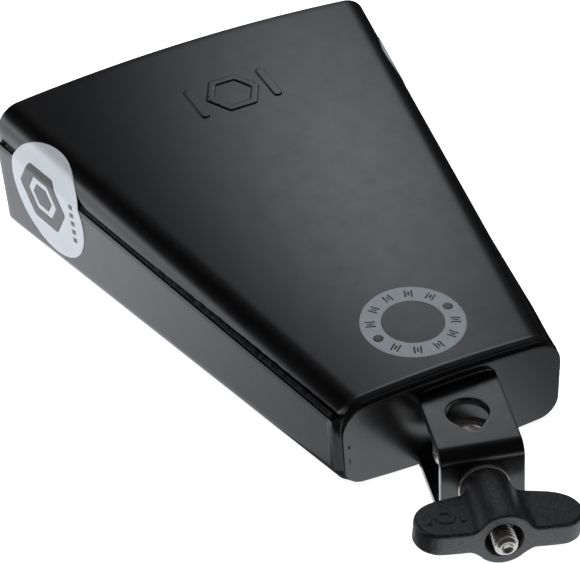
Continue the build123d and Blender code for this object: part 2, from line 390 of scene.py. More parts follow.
def polygon_distance(points, loop):
    """Signed distance in the plane from a closed loop, negative inside."""
    best = np.full(points.shape[:-1], 1e9)
    inside = np.zeros(points.shape[:-1], bool)
    for a, b in zip(loop, np.roll(loop, -1, axis=0)):
        edge = b - a
        offset = points - a
        share = np.clip((offset * edge).sum(axis=-1) / (edge * edge).sum(), 0, 1)
        gap = offset - share[..., None] * edge
        best = np.minimum(best, (gap * gap).sum(axis=-1))
        crosses = (a[1] > points[..., 1]) != (b[1] > points[..., 1])
        if a[1] != b[1]:
            inside ^= crosses & (points[..., 0] < edge[0] * (points[..., 1] - a[1]) / edge[1] + a[0])
    return np.where(inside, -1, 1) * np.sqrt(best)


# ---------------------------------------------------------------- bell sections


def at(pair, y):
    """Value at a distance y from the crown, between its crown and mouth values."""
    return pair[0] + (pair[1] - pair[0]) * y / BELL_LENGTH


def fold_curve(edge, face_half_width, depth, dome, radius, inset=0.0, lip=0.0, counts=(14, 14, 30)):
    """Right half of a folded sheet as (across, outward) points: flange, fold and domed face.

    The dome is a circle through the face's apex and its two nominal corners, and the fold is a
    circle tangent to it and to the flange. The flange starts a lip's distance past its free edge.
    """
    edge = np.array(edge, float)
    along = np.array([face_half_width, depth]) - edge
    along /= np.linalg.norm(along)
    inward = np.array([-along[1], along[0]])
    dome_radius = (face_half_width**2 + dome**2) / (2 * dome)
    dome_centre = np.array([0, depth + dome - dome_radius])
    start = edge + inward * radius - dome_centre
    half_b = start @ along
    reach = -half_b + math.sqrt(half_b**2 - start @ start + (dome_radius - radius) ** 2)
    fold_centre = dome_centre + start + along * reach
    to_face = (fold_centre - dome_centre) / np.linalg.norm(fold_centre - dome_centre)
    flange = [edge + inward * inset + along * d for d in np.linspace(lip, reach, counts[0])]
    from_angle = math.atan2(-inward[1], -inward[0])
    to_angle = math.atan2(to_face[1], to_face[0])
    fold = [
        fold_centre + (radius - inset) * np.array([math.cos(a), math.sin(a)])
        for a in np.linspace(from_angle, to_angle, counts[1] + 1)[1:]
    ]
    face = [
        dome_centre + (dome_radius - inset) * np.array([math.cos(a), math.sin(a)])
        for a in np.linspace(to_angle, math.pi / 2, counts[2] + 1)[1:]
    ]
    return np.array(flange + fold + face)


def shell_curve(side, half_width, free_height, y, inset=0.0, lip=0.0, **counts):
    lean = at(SIDE_LEAN, y)
    flatter = LOWER_SQUARE * y / BELL_LENGTH if side == LOWER else 0.0
    depth = at(HALF_DEPTH, y) + flatter
    edge = (half_width + lean * free_height, side * free_height)
    face_half_width = half_width + side * lean * depth
    radius = at(FOLD_RADIUS[side], y)
    return fold_curve(edge, face_half_width, depth, at(DOME[side], y) - 1.05 * flatter, radius, inset, lip, **counts)


def top_curve(y, inset=0.0, lip=0.0, **counts):
    return shell_curve(TOP, at(HALF_WIDTH, y) - LAP_OFFSET, SEAM_HEIGHT - LAP_DEPTH, y, inset, lip, **counts)


def lower_curve(y, inset=0.0, lip=0.0, **counts):
    return shell_curve(LOWER, at(HALF_WIDTH, y), SEAM_HEIGHT, y, inset, lip, **counts)


def mirrored(curve):
    """A right half followed by its mirror image, from the right free edge to the left one."""
    return np.concatenate([curve, curve[-2::-1] * (-1, 1)])


def shell_mesh(curve_at, side):
    """Folded sheet with rounded free edges and a rounded rim at the mouth."""
    stations = [(y, 0.0) for y in np.linspace(SHELL_START, BELL_LENGTH - SHEET_EDGE, 70)]
    for turn in np.radians([22.5, 45, 67.5, 90]):
        stations.append(
            (BELL_LENGTH - SHEET_EDGE * (1 - math.sin(turn)), SHEET_EDGE * (1 - math.cos(turn)))
        )
    rows = []
    for y, inset in stations:
        edge = max(SHEET_EDGE - inset, 0.02)
        turns = np.radians(np.linspace(0, 90, 6))
        corner = [(inset + edge * (1 - math.cos(t)), inset + edge * (1 - math.sin(t))) for t in turns]
        lips = [curve_at(y, i, d, counts=(2, 1, 1))[0] for i, d in corner]
        back = [curve_at(y, SHEET - i, d, counts=(2, 1, 1))[0] for i, d in corner[::-1]]
        outer = mirrored(curve_at(y, inset, corner[0][1]))
        inner = mirrored(curve_at(y, SHEET - inset, corner[0][1]))[::-1]
        right = np.array((back + lips)[1:-1])
        left = right[::-1] * (-1, 1)
        loop = np.concatenate([outer, left, inner, right])
        near_crown = smoothstep(14.0, SHELL_START, y)
        shift = near_crown * (weld_reach(side * loop[:, 1]) - 0.45 - SHELL_START)
        rows.append([(x, y + s, side * z) for (x, z), s in zip(loop, shift)])
    count = len(outer)
    ends = len(right)
    size = len(rows[0])
    faces = grid_faces(len(rows), size, wrap_columns=True)
    for base, flip in ((0, False), ((len(rows) - 1) * size, True)):
        cap = [(i, i + 1, 2 * count + ends - 2 - i, 2 * count + ends - 1 - i) for i in range(count - 1)]
        cap.append(tuple(range(count - 1, count + ends + 1)))
        cap.append(tuple(range(2 * count + ends - 1, size)) + (0,))
        faces += [tuple(base + i for i in (reversed(face) if flip else face)) for face in cap]
    if side == TOP:
        faces = flipped(faces)
    return np.array(rows).reshape(-1, 3), faces


def face_height(x, y):
    """Height of the domed striking face."""
    lean = at(SIDE_LEAN, y)
    depth = at(HALF_DEPTH, y)
    half = at(HALF_WIDTH, y) - LAP_OFFSET + lean * depth
    dome = at(DOME[TOP], y)
    radius = (half**2 + dome**2) / (2 * dome)
    return depth + dome - radius + np.sqrt(radius**2 - x**2)


def on_face(u, v, height):
    return np.stack([u, v, face_height(u, v) + height], axis=-1)


# ---------------------------------------------------------------- materials


class Nodes:
    """Short calls for building one material's nodes."""

    def __init__(self, name):
        self.material = bpy.data.materials.new(name)
        self.material.use_nodes = True
        self.tree = self.material.node_tree
        self.shader = self.tree.nodes["Principled BSDF"]
        self.place = self.add("ShaderNodeTexCoord").outputs["Object"]

    def add(self, kind, **settings):
        node = self.tree.nodes.new(kind)
        for key, value in settings.items():
            if hasattr(node, key):
                setattr(node, key, value)
            else:
                node.inputs[key].default_value = value
        return node

    def join(self, output, target):
        self.tree.links.new(output, target)

    def grain(self, scale, detail=3.0, roughness=0.55):
        node = self.add("ShaderNodeTexNoise", Scale=scale, Detail=detail, Roughness=roughness)
        self.join(self.place, node.inputs["Vector"])
        return node.outputs["Fac"]

    def spread(self, value, low, high, start=0.3, end=0.7, **settings):
        limits = {"From Min": start, "From Max": end, "To Min": low, "To Max": high}
        node = self.add("ShaderNodeMapRange", **limits, **settings)
        self.join(value, node.inputs["Value"])
        return node.outputs["Result"]

    def tint(self, value, stops):
        node = self.add("ShaderNodeValToRGB")
        ramp = node.color_ramp
        while len(ramp.elements) < len(stops):
            ramp.elements.new(0.5)
        for element, (position, colour) in zip(ramp.elements, stops):
            element.position = position
            element.color = (*colour, 1)
        self.join(value, node.inputs["Fac"])
        return node.outputs["Color"]

    def bump(self, layers):
        """Stacks (height, strength, distance in metres) into one normal."""
        previous = None
        for height, strength, distance in layers:
            node = self.add("ShaderNodeBump", Strength=strength, Distance=distance)
            self.join(height, node.inputs["Height"])
            if previous:
                self.join(previous, node.inputs["Normal"])
            previous = node.outputs["Normal"]
        self.join(previous, self.shader.inputs["Normal"])

    def edges(self, low, high):
        """0 on flat surfaces and 1 on outer edges."""
        return self.spread(self.add("ShaderNodeNewGeometry").outputs["Pointiness"], 0, 1, low, high)


def surface(name, grain, stops, rough_grain, rough_range, bumps, worn=None, **settings):
    """A material: colour from one grain, roughness from another, and layers of bump.

    worn is the pointiness at which outer edges start to show, and their colour.
    """
    n = Nodes(name)
    colour = n.tint(n.grain(*grain), stops)
    if worn:
        mixed = n.add("ShaderNodeMix", data_type="RGBA")
        n.join(n.edges(worn[0], WORN_FULL), mixed.inputs["Factor"])
        n.join(colour, mixed.inputs[6])
        mixed.inputs[7].default_value = (*worn[1], 1)
        colour = mixed.outputs[2]
    n.join(colour, n.shader.inputs["Base Color"])
    n.join(n.spread(n.grain(*rough_grain), *rough_range), n.shader.inputs["Roughness"])
    for socket, value in settings.items():
        n.shader.inputs[socket].default_value = value
    n.bump([(n.grain(*layer), strength, distance) for layer, strength, distance in bumps])
    return n.material


WORN_FULL = 0.6  # pointiness at which an edge shows fully

# Black semi-gloss paint over steel, with a slight orange peel.
PAINT = surface(
    "black_paint",
    (55, 4),
    [(0.35, (0.0011, 0.0011, 0.0013)), (0.65, (0.0021, 0.002, 0.0022))],
    (140, 3),
    (0.22, 0.28),
    [((420, 2), 0.08, 0.00005), ((2300, 3), 0.12, 0.00002)],
    worn=(0.53, (0.006, 0.006, 0.0065)),
    IOR=1.6,
)
# Duller black of the brushed sealant under the paint, with lumps along it.
SEALANT = surface(
    "painted_sealant",
    (300, 3),
    [(0.35, (0.0011, 0.0011, 0.0013)), (0.65, (0.0026, 0.0026, 0.0028))],
    (500, 3),
    (0.18, 0.3),
    [((450, 2), 0.3, 0.00015), ((2300, 3), 0.12, 0.00002)],
    IOR=1.22,
)
# Black glossy ink of the label's mark.
PRINT = surface(
    "dark_print",
    (400,),
    [(0.3, (0.002, 0.002, 0.0022)), (0.7, (0.0035, 0.0035, 0.0038))],
    (900,),
    (0.2, 0.28),
    [((1500,), 0.08, 0.00002)],
    IOR=1.6,
)
# Bright silver-white film of the side labels.
FILM = surface(
    "label_film",
    (60, 3),
    [(0.3, (0.5, 0.535, 0.575)), (0.7, (0.55, 0.58, 0.615))],
    (500,),
    (0.3, 0.38),
    [((120, 2), 0.15, 0.0001), ((2500,), 0.1, 0.00001)],
    Metallic=0.3,
)
# Blue-grey ink of the printed ring.
INK = surface(
    "ring_ink",
    (900, 4),
    [(0.3, (0.19, 0.215, 0.235)), (0.7, (0.225, 0.25, 0.27))],
    (700,),
    (0.42, 0.55),
    [((2200,), 0.15, 0.00002)],
)
# Black glass-filled plastic with a fine spark-eroded grain.
PLASTIC = surface(
    "moulded_plastic",
    (850, 4, 0.75),
    [(0.42, (0.0008, 0.0008, 0.001)), (0.62, (0.0135, 0.0135, 0.014))],
    (1600, 4),
    (0.28, 0.46),
    [((1500, 3, 0.6), 0.8, 0.00035), ((3200, 2), 0.6, 0.00012)],
    worn=(0.52, (0.022, 0.022, 0.023)),
    IOR=1.62,
)
# Bright nickel plate on turned and rolled steel.
STEEL = surface(
    "plated_steel",
    (300, 4),
    [(0.3, (0.36, 0.335, 0.3)), (0.7, (0.47, 0.445, 0.405))],
    (1200, 4),
    (0.16, 0.32),
    [((2600, 3), 0.18, 0.00003)],
    Metallic=0.92,
)

# ---------------------------------------------------------------- bell


FLANGE_TUCK = 0.6  # how far the right flanges stand in
CROWN_END_TUCK = 0.6  # how much more the lower one does at the crown
FLANGE_DROP = 1.5  # how much lower the right lower flange ends


def tuck_top(points):
    """The top shell as pressed: below the seam its right flange stands in a little."""
    points = np.array(points, float)
    right = smoothstep(15.0, 35.0, points[:, 0])
    high = smoothstep(SEAM_HEIGHT - 3.5, SEAM_HEIGHT + 3.0, points[:, 2])
    points[:, 0] -= FLANGE_TUCK * right * (1 - high)
    return points


def tuck_lower(points):
    """The lower shell as pressed: its right flange is lower and stands in a little."""
    points = np.array(points, float)
    right = smoothstep(15.0, 35.0, points[:, 0]) * smoothstep(0.0, SEAM_HEIGHT, points[:, 2])
    points[:, 0] -= (FLANGE_TUCK + CROWN_END_TUCK * smoothstep(30.0, 5.0, points[:, 1])) * right
    points[:, 2] -= FLANGE_DROP * right
    return points


def make_shells():
    for side, curve_at, tuck, name, node in (
        (TOP, top_curve, tuck_top, "bell_top", "top_shell"),
        (LOWER, lower_curve, tuck_lower, "bell_base", "lower_shell"),
    ):
        verts, faces = shell_mesh(curve_at, side)
        verts = tuck(verts)
        add_piece(name, verts, faces, BELL, PAINT, "bell", [node])


def crown_half(side, inset=0.0, **counts):
    return shell_curve(side, CROWN_HALF_WIDTH, 0.0, 0.0, inset, **counts)


def crown_loop(inset=0.0, counts=(12, 14, 30)):
    """Outline of the crown end as (across, up) points, anticlockwise from the right mid-plane."""
    top = mirrored(crown_half(TOP, inset, counts=counts))
    low = mirrored(crown_half(LOWER, inset, counts=counts))[::-1] * (1, -1)
    loop = np.concatenate([top[:-1], low[:-1]])
    loop[:, 0] += CROWN_BULGE * smoothstep(15, 35, loop[:, 0]) * smoothstep(15, 8, loop[:, 1])
    return loop


WELD_RUN = 2.75  # of the ground band over the striking face
WELD_RUN_BELOW = 1.2  # how much further it runs on the sides and below


def weld_reach(height):
    """How far the ground crown weld runs back over the shells, less over the top."""
    return WELD_RUN + WELD_RUN_BELOW * smoothstep(14.0, 7.0, height)


def shell_outline(y):
    """Outer outline of both shells at y, with the same points round as crown_loop.

    The step of the seam is drawn as a steep slope, which the seam strip hides further on.
    """
    counts = (12, 14, 30)
    lean = at(SIDE_LEAN, y)
    half = at(HALF_WIDTH, y)
    top = shell_curve(TOP, half - LAP_OFFSET, 0.0, y, counts=counts)
    low = shell_curve(LOWER, half, 0.0, y, counts=counts)

    def stepped(tuck, drop):
        curve = top.copy()
        wall = half + lean * curve[:, 1] - tuck * smoothstep(0.0, SEAM_HEIGHT, curve[:, 1])
        step = smoothstep(SEAM_HEIGHT - drop + 0.2, SEAM_HEIGHT - drop + 1.8, curve[:, 1])
        curve[:, 0] += (wall - curve[:, 0]) * (1 - step)
        return curve

    upper = np.concatenate([stepped(FLANGE_TUCK + CROWN_END_TUCK, FLANGE_DROP), stepped(0.0, 0.0)[-2::-1] * (-1, 1)])
    lower = mirrored(low)[::-1] * (1, -1)
    return np.concatenate([upper[:-1], lower[:-1]])


def make_crown():
    inner = crown_loop(CROWN_WELD_WIDTH)

    def flat(u, v, height):
        return np.stack([u, -height, v], axis=-1)

    face = crown_loop(CROWN_WELD_WIDTH - 0.25)
    verts, faces = plate([face], flat, -CROWN_DEPTH, -0.006, edge=0.02, spacing=1.5, steps=1)
    add_piece("crown_face", verts, faces, BELL, PAINT, "bell", ["crown_plate"], sharp=30)

    # The weld is a closed ring: an inner face against the plate, the rounded front edge, and a ground
    # band that slopes up to the shells and ends in an uneven ridge.
    base = crown_loop(CROWN_SLOPE_DROP)
    size = len(base)
    base[:, 1] += 0.35 * smoothstep(6.0, 15.0, base[:, 1])
    rounding = 0.75 + (CROWN_ROUNDING - 0.75) * smoothstep(4.0, 14.0, base[:, 1])

    def ring(inset, y):
        moved = np.array([inset_loop(base, value)[i] for i, value in enumerate(np.broadcast_to(inset, size))])
        return np.stack([moved[:, 0], np.broadcast_to(y, size), moved[:, 1]], axis=-1)

    loops = [
        np.stack([inner[:, 0], np.full(size, depth), inner[:, 1]], axis=-1) for depth in (CROWN_DEPTH, 0.0)
    ]
    for turn in np.radians(np.linspace(0, 90, 11)):
        loops.append(ring(rounding * (1 - math.sin(turn)), rounding * (1 - math.cos(turn))))
    edge = loops[-1]
    reach = weld_reach(edge[:, 2]) + 0.22 * wobble(edge, 0.12) + 0.1 * wobble(edge, 0.4, 7.0)
    on_side = smoothstep(30, 38, -edge[:, 0])
    bead = 0.3 * on_side * np.exp(-(((edge[:, 2] - SEAM_HEIGHT - 0.4) / 1.8) ** 2))
    for share in (0.08, 0.2, 0.35, 0.5, 0.62, 0.72, 0.8, 0.86, 0.91, 0.95, 0.98, 1.0, 1.02):
        y = rounding + (reach - rounding) * min(share, 1.01)
        outline = np.array([shell_outline(value)[i] for i, value in enumerate(y)])
        target = np.stack([outline[:, 0], y, outline[:, 1]], axis=-1)
        start = edge.copy()
        start[:, 1] = y
        outward = target * (1, 0, 1)
        outward /= np.linalg.norm(outward, axis=1, keepdims=True)
        ridge = CROWN_RIDGE * math.exp(-(((share - 0.9) / 0.09) ** 2))
        lift = ridge + bead * math.sin(math.pi * min(share, 1.0) / 1.2) ** 0.6
        lift = lift - (0.35 if share > 1 else 0.0) - 0.08 * smoothstep(-11.0, -13.0, edge[:, 2])
        blend = smoothstep(-0.25, 1.0, min(share, 1.0))
        loops.append(start * (1 - blend) + target * blend + outward * np.reshape(lift, (-1, 1)))
    back = loops[-1] * (0.97, 1, 0.94)
    loops.append(back)
    verts = np.concatenate(loops)
    faces = flipped(grid_faces(len(loops), size, True, True))
    add_piece("crown_weld_ground", verts, faces, BELL, PAINT, "bell", ["crown_weld"], sharp=38)


SLOPE_RUN = 0.49  # width of the sealant's slope up from the lower flange's edge
SLOPE_RISE = 0.45  # and its height


def make_seams():
    """Painted-over sealant that slopes across the step where each lower flange ends."""
    for side, name, node in ((-1, "seam_left", "seam_weld_left"), (1, "seam_right", "seam_weld_right")):
        rows = []
        for y in np.linspace(3.7, 196.0, 260):
            outer = at(HALF_WIDTH, y) + at(SIDE_LEAN, y) * SEAM_HEIGHT
            sway = 0.12 * noise.noise(Vector((y * 0.3, side * 5.0, 0)))
            sway += 0.1 * noise.noise(Vector((y * 1.1, 3.0, side)))
            taper = smoothstep(3.4, 4.6, y) * smoothstep(196.5, 194.5, y)
            foot = outer - 0.25
            inner = outer - LAP_OFFSET - (0.85 if side > 0 else 0.15)
            lump = max(0.12 + 1.2 * sway, 0.02)
            slope = [(0.0, -0.5), (0.0, 0.0), (0.22, 0.22), (0.46, SLOPE_RISE), (SLOPE_RUN, SLOPE_RISE + lump)]
            section = [(foot - across, SEAM_HEIGHT + (up if up < 0 else up * taper)) for across, up in slope]
            for share in (0.2, 0.6, 1.0):
                across = SLOPE_RUN + (foot - SLOPE_RUN - inner) * share
                up = SLOPE_RISE + lump + (1.1 + 0.8 * sway) * share
                section.append((foot - across, SEAM_HEIGHT + up * taper))
            section += [(inner - 0.1, section[-1][1]), (inner - 0.1, SEAM_HEIGHT - 0.5)]
            rows.append([(side * x, y, z) for x, z in section])
        verts, faces = lofted(rows)
        faces = flipped(faces) if side > 0 else faces
        add_piece(name, tuck_lower(verts), faces, BELL, SEALANT, "bell", [node], sharp=25)


# ---------------------------------------------------------------- surface pieces


def regular(radius, sides, turn=0.0, centre=(0, 0), flip=False):
    angles = np.radians(turn) + np.arange(sides) * 2 * math.pi / sides
    loop = np.stack([centre[0] + radius * np.cos(angles), centre[1] + radius * np.sin(angles)], axis=-1)
    return loop[::-1] if flip else loop


def rounded_loop(corners, radius, steps=5, flip=False):
    """Anticlockwise polygon with its corners rounded."""
    corners = np.asarray(corners, float)
    points = []
    for i, corner in enumerate(corners):
        before = corners[i - 1] - corner
        after = corners[(i + 1) % len(corners)] - corner
        before, after = before / np.linalg.norm(before), after / np.linalg.norm(after)
        half = math.acos(np.clip(before @ after, -1, 1)) / 2
        reach = radius / math.tan(half)
        centre = corner + (before + after) / np.linalg.norm(before + after) * radius / math.sin(half)
        first, last = corner + before * reach - centre, corner + after * reach - centre
        a = math.atan2(first[1], first[0])
        b = math.atan2(last[1], last[0])
        b = a + (b - a + math.pi) % (2 * math.pi) - math.pi
        points += [centre + radius * np.array([math.cos(t), math.sin(t)]) for t in np.linspace(a, b, steps + 1)]
    points = np.array(points)
    return points[::-1] if flip else points


def emblem(size, centre=(0, 0), turn=0.0, heavy=False):
    """Plain emblem: a hexagonal ring with a short bar on either side, as outlines of its parts."""
    inner, half_bar = (5.2, 2.6) if heavy else (7.2, 1.7)
    turned = np.array([[math.cos(turn), math.sin(turn)], [-math.sin(turn), math.cos(turn)]])

    def put(loop):
        return np.asarray(loop) * size @ turned + centre

    ring = [
        put(rounded_loop(regular(10.5, 6), 1.2)),
        put(rounded_loop(regular(inner, 6), 0.8, flip=True)),
    ]
    parts = [ring]
    for side in (-1, 1):
        x = side * (11.5 + 1.6 * half_bar)
        corners = [(x - half_bar, -8.5), (x + half_bar, -8.5), (x + half_bar, 8.5), (x - half_bar, 8.5)]
        parts.append([put(rounded_loop(corners, half_bar * 0.9))])
    return parts


def merged(parts):
    """Several meshes as one list of points and faces."""
    verts, faces, start = [], [], 0
    for points, found in parts:
        verts.append(np.asarray(points))
        faces += [tuple(start + i for i in face) for face in found]
        start += len(points)
    return np.concatenate(verts), faces


def make_badge():
    """Raised emblem on the striking face, with soft pressed edges."""
    parts = [plate(loops, on_face, -0.3, 0.5, edge=0.45, spacing=0.6, steps=5) for loops in emblem(1.0, BADGE_CENTRE)]
    verts, faces = merged(parts)
    add_piece("raised_badge", verts, faces, BELL, PAINT, "bell")


def make_ring():
    circle = regular(RING_RADII[1], 160, centre=RING_CENTRE)
    hole = regular(RING_RADII[0], 110, centre=RING_CENTRE, flip=True)
    verts, faces = plate([circle, hole], on_face, -0.05, 0.1, edge=0.05, spacing=1.2, steps=2)
    add_piece("ring_print", verts, faces, BELL, INK, "bell", ["printed_ring"])
    middle = sum(RING_RADII) / 2
    ticks = []

    def printed(loop):
        return plate([loop], on_face, 0.06, 0.125, edge=0.02, spacing=0.5, steps=1)

    for i in range(12):
        angle = math.radians(30 * i + 8)
        centre = np.array(RING_CENTRE) + middle * np.array([math.cos(angle), math.sin(angle)])
        if i % 6 == 0:
            ticks.append(printed(regular(1.75, 28, centre=centre)))
            continue
        radial = np.array([math.cos(angle), math.sin(angle)])
        across = np.array([-radial[1], radial[0]])
        for offset, half in ((-1.1, 1.7), (0.0, 1.0), (1.1, 1.7)):
            corners = [
                centre + across * (offset + a * 0.28) + radial * b * half
                for a, b in ((-1, -1), (-1, 1), (1, 1), (1, -1))
            ]
            ticks.append(printed(np.array(corners[::-1])))
    verts, faces = merged(ticks)
    add_piece("ring_ticks", verts, faces, BELL, PRINT, "bell")


def side_profile(y, side):
    """Path of the label film up one side at y: (along, across, up), along 0 at the label's centre.

    The film bridges the seam's step, so the path is the outer hull of both shells.
    """
    lean, half = at(SIDE_LEAN, y), at(HALF_WIDTH, y)
    top = top_curve(y, lip=LAP_DEPTH + 0.5, counts=(6, 40, 20))
    heights = np.linspace(-20, SEAM_HEIGHT - 0.1, 24)
    low = np.stack([half + lean * heights, heights], axis=-1)
    if side > 0:
        top, low = (
            moved(np.stack([curve[:, 0], np.full(len(curve), y), curve[:, 1]], axis=-1))[:, ::2]
            for moved, curve in ((tuck_top, top), (tuck_lower, low))
        )
    corner = low[-1] + (-0.05, 0.1)
    slopes = np.arctan2(corner[0] - top[:, 0], top[:, 1] - corner[1])
    touch = int(np.argmin(slopes))
    bridge = corner + (top[touch] - corner) * np.linspace(0, 1, 8)[:-1, None]
    path = np.concatenate([low, bridge, top[touch:]])
    step = np.concatenate([[0], np.cumsum(np.linalg.norm(np.diff(path, axis=0), axis=1))])
    start = np.interp(LABEL_CENTRE[side][1], heights, step[: len(low)])
    return step - start, path


def wrap_label(side):
    profiles = {}
    middle = LABEL_CENTRE[side][0]

    def place(u, v, height):
        points = []
        for a, b, h in zip(u, v, height):
            key = round(float(a), 2)
            if key not in profiles:
                profiles[key] = side_profile(middle + key, side)
            along, path = profiles[key]
            ends = [
                np.array([np.interp(b + d, along, path[:, 0]), np.interp(b + d, along, path[:, 1])])
                for d in (-0.5, 0.0, 0.5)
            ]
            tangent = (ends[2] - ends[0]) / np.linalg.norm(ends[2] - ends[0])
            x, z = ends[1] + np.array([tangent[1], -tangent[0]]) * h
            points.append((side * x, middle + a, z))
        return np.array(points)

    return place


def make_labels():
    for side, name, node in ((-1, "label_left", "side_label_left"), (1, "label_right", "side_label_right")):
        place = wrap_label(side)
        verts, faces = plate([regular(LABEL_RADIUS, 150)], place, 0.02, 0.24, edge=0.08, spacing=1.1, steps=2)
        if side < 0:
            faces = flipped(faces)
        add_piece(name, verts, faces, BELL, FILM, "bell", [node])
        marks = []
        for loops in (
            [rounded_loop(regular(13.4, 6), 2.0), rounded_loop(regular(8.0, 6), 1.2, flip=True)],
            [rounded_loop(regular(5.4, 6), 1.0)],
        ):
            loops = [loop * (1.05, 1.0) + (3.2, -0.4) for loop in loops]
            marks.append(plate(loops, place, 0.2, 0.275, edge=0.02, spacing=0.7, steps=1))
        for i in range(5):
            z = -9.0 + 3.7 * i
            corners = [(-16.6, z), (-14.2, z - 0.5), (-14.2, z + 1.5), (-16.6, z + 2.0)]
            marks.append(plate([np.array(corners)], place, 0.2, 0.275, edge=0.02, spacing=0.7, steps=1))
        verts, faces = merged(marks)
        if side < 0:
            faces = flipped(faces)
        add_piece(name + "_mark", verts, faces, BELL, PRINT, "bell")


# ---------------------------------------------------------------- rod clamp


def strip_place(u, v, height):
    """Bends the flat strip into its U: v runs round from the middle of the front face."""
    u, v = np.asarray(u, float), np.asarray(v, float)
    up = np.sign(v)
    run = np.abs(v)
    flat = STRIP_HEIGHT / 2 - STRIP_BEND_RADIUS
    middle = STRIP_BEND_RADIUS - STRIP / 2
    bend = middle * math.pi / 2
    corner = -(FRONT_FACE - STRIP_BEND_RADIUS)
    turn = np.clip((run - flat) / middle, 0, math.pi / 2)
    radius = middle + height
    y = corner - radius * np.cos(turn) + np.maximum(run - flat - bend, 0)
    z = up * (np.minimum(run, flat) + radius * np.sin(turn))
    return np.stack([u, y, z], axis=-1)


def leg_run(y):
    """Distance round the strip to a place on a leg."""
    flat = STRIP_HEIGHT / 2 - STRIP_BEND_RADIUS
    bend = (STRIP_BEND_RADIUS - STRIP / 2) * math.pi / 2
    return flat + bend + FRONT_FACE - STRIP_BEND_RADIUS + y


def rod_hole():
    """Round hole with a notch towards the wing nut, clockwise."""
    half_flat = NOTCH_FLAT / 2
    span = math.hypot(half_flat, NOTCH_DEPTH)
    touch = math.atan2(-NOTCH_DEPTH, half_flat) + math.acos(ROD_HOLE_RADIUS / span)
    points = [(-half_flat + 0.3, -NOTCH_DEPTH), (half_flat - 0.3, -NOTCH_DEPTH), (half_flat + 0.1, -NOTCH_DEPTH + 0.25)]
    points += [
        (ROD_HOLE_RADIUS * math.cos(a), ROD_HOLE_RADIUS * math.sin(a)) for a in np.linspace(touch, math.pi - touch, 60)
    ]
    points.append((-half_flat - 0.1, -NOTCH_DEPTH + 0.25))
    return np.array(points)[::-1]


def make_bracket():
    half = STRIP_WIDTH / 2
    slant = math.tan(math.radians(-CLAMP_YAW))
    root = -ROD_CENTRE[1] / math.cos(math.radians(CLAMP_YAW)) + 0.8
    ends = {x: leg_run(root + x * slant) for x in (-half, half)}
    outline = np.array([(-half, -ends[-half]), (half, -ends[half]), (half, ends[half]), (-half, ends[-half])])
    upper = rod_hole() + (0, leg_run(0))
    lower = (rod_hole() * (1, -1))[::-1] - (0, leg_run(0))
    hole = regular(BOLT_HOLE_RADIUS, 60, flip=True)
    flat = STRIP_HEIGHT / 2 - STRIP_BEND_RADIUS
    bend = (STRIP_BEND_RADIUS - STRIP / 2) * math.pi / 2
    straight = np.arange(flat + bend + 0.8, max(ends.values()), 1.0)
    run = np.concatenate([np.arange(0.5, flat, 1.0), np.linspace(flat, flat + bend, 15), straight])
    lines = [np.arange(-half + 1.0, half, 1.0), np.concatenate([-run[::-1], run])]
    verts, faces = plate([outline, upper, lower, hole], strip_place, -STRIP / 2, STRIP / 2, STRIP_EDGE, 0.8, 4, lines)
    add_piece("rod_bracket", verts, faces, CLAMP, PAINT, "bell", ["clamp_bracket"])


def make_bracket_welds():
    """Lumpy beads along the roots of the two legs."""
    centre = ROD_CENTRE[0] + ROD_CENTRE[1] * math.tan(math.radians(CLAMP_YAW))
    for side, radius, foot, name, node in (
        (1, 2.5, 0.7, "root_weld_upper", "bracket_weld_upper"),
        (-1, 1.5, 1.5, "root_weld_lower", "bracket_weld_lower"),
    ):
        height = ROD_CENTRE[2] + side * STRIP_HEIGHT / 2
        rows = []
        for x in np.linspace(-13.4, 13.4, 170):
            share = max(1 - (x / 13.5) ** 6, 0.02) ** 0.5
            ripple = 1 + 0.05 * math.sin(x * 3.6 + 0.8 * math.sin(x * 0.9))
            ripple += 0.08 * noise.noise(Vector((x * 0.35, side, 0)))
            size = min(radius * share * ripple, radius)
            section = [(0.6, -0.6)]
            for turn in np.linspace(0, 90, 13):
                a = math.radians(turn)
                section.append((-size * foot / radius * math.cos(a) ** 0.8, size * math.sin(a) ** 0.8))
            section += [(0.6, size)]
            rows.append([(centre + x, y, height + side * z) for y, z in section])
        verts, faces = lofted(rows)
        faces = flipped(faces) if side < 0 else faces
        add_piece(name, verts, faces, BELL, PAINT, "bell", [node])


def ring_points(radius, z, angles):
    """Points round the Z axis at one height. The radius may differ from angle to angle."""
    radius = np.broadcast_to(radius, angles.shape)
    return np.stack([radius * np.cos(angles), radius * np.sin(angles), np.full(len(angles), z)], axis=-1)


def thread_radius(turns, outer, depth, crest=0.16, root=0.12):
    """Radius of a rolled thread after a number of turns, crest at whole numbers."""
    phase = np.abs((turns % 1.0) - 0.5) * 2
    return outer - depth * (1 - smoothstep(root, 1 - crest, phase))


def threaded_rod(start, end, outer, depth, chamfer, segments=80, per_turn=20):
    """Closed threaded rod along Z, with its chamfered and dimpled end at the top."""
    count = int((end - start) / THREAD_PITCH * per_turn)
    angles = np.arange(segments) * 2 * math.pi / segments
    rows = []
    for z in np.linspace(start, end, count):
        radius = thread_radius(z / THREAD_PITCH - angles / (2 * math.pi), outer, depth)
        radius = np.minimum(radius, outer - chamfer + (end - z))
        rows.append(ring_points(radius, z, angles))
    dished = [(outer - chamfer - 0.1, 0.04), (2.3, 0.04), (2.05, -0.05), (1.8, -0.35)]
    dished += [(1.4, -0.8), (0.9, -1.15), (0.4, -1.3), (0.05, -1.33)]
    for radius, rise in dished:
        rows.append(ring_points(radius, end + rise, angles))
    return lofted(rows)


